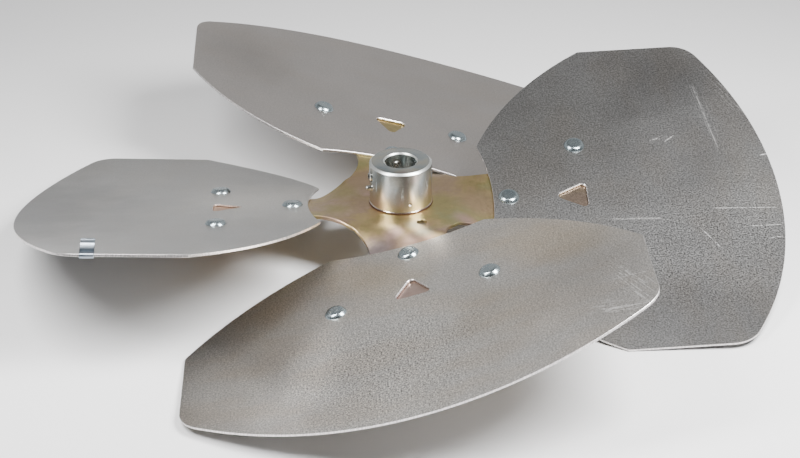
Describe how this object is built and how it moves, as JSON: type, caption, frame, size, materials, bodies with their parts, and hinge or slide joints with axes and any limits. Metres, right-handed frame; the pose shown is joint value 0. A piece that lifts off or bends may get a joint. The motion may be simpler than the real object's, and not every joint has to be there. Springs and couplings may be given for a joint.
{
  "type": "riveted sheet-metal axial fan rotor",
  "caption": "Axial fan rotor of pitched, cambered sheet-metal blades riveted to a pressed steel spider with a bored hub and set screws.",
  "frame": {"origin": "on the rotor's axis at the floor it lies on, centre of the bottom of its bounding box", "axes": "+Z along the rotor's axis, out of the hub's nose; +X and +Y along two of the arms"},
  "size_m": [0.61, 0.61, 0.1013],
  "materials": {
    "spider": "pressed steel with a yellow zinc passivate, iridescent olive, pink and green",
    "hub": "turned steel, bright zinc plated, with a faint yellow and pink tint",
    "blade": "mill-finish sheet, dull grey, with fine speckle, handling marks and bright sheared edges",
    "rivet": "bright zinc plated",
    "screw": "zinc plated alloy steel",
    "clip": "bright spring steel"
  },
  "bodies": {
    "root": {"spider": "spider", "hub": "hub", "blade_front": "blade", "blade_right": "blade", "blade_back": "blade", "blade_left": "blade", "rivet_front_inner": "rivet", "rivet_front_low": "rivet", "rivet_front_high": "rivet", "rivet_right_inner": "rivet", "rivet_right_low": "rivet", "rivet_right_high": "rivet", "rivet_back_inner": "rivet", "rivet_back_low": "rivet", "rivet_back_high": "rivet", "rivet_left_inner": "rivet", "rivet_left_low": "rivet", "rivet_left_high": "rivet", "set_screw_back": "screw", "set_screw_left": "screw", "lock_pin": "screw", "balance_clip": "clip"}
  },
  "joints": []
}
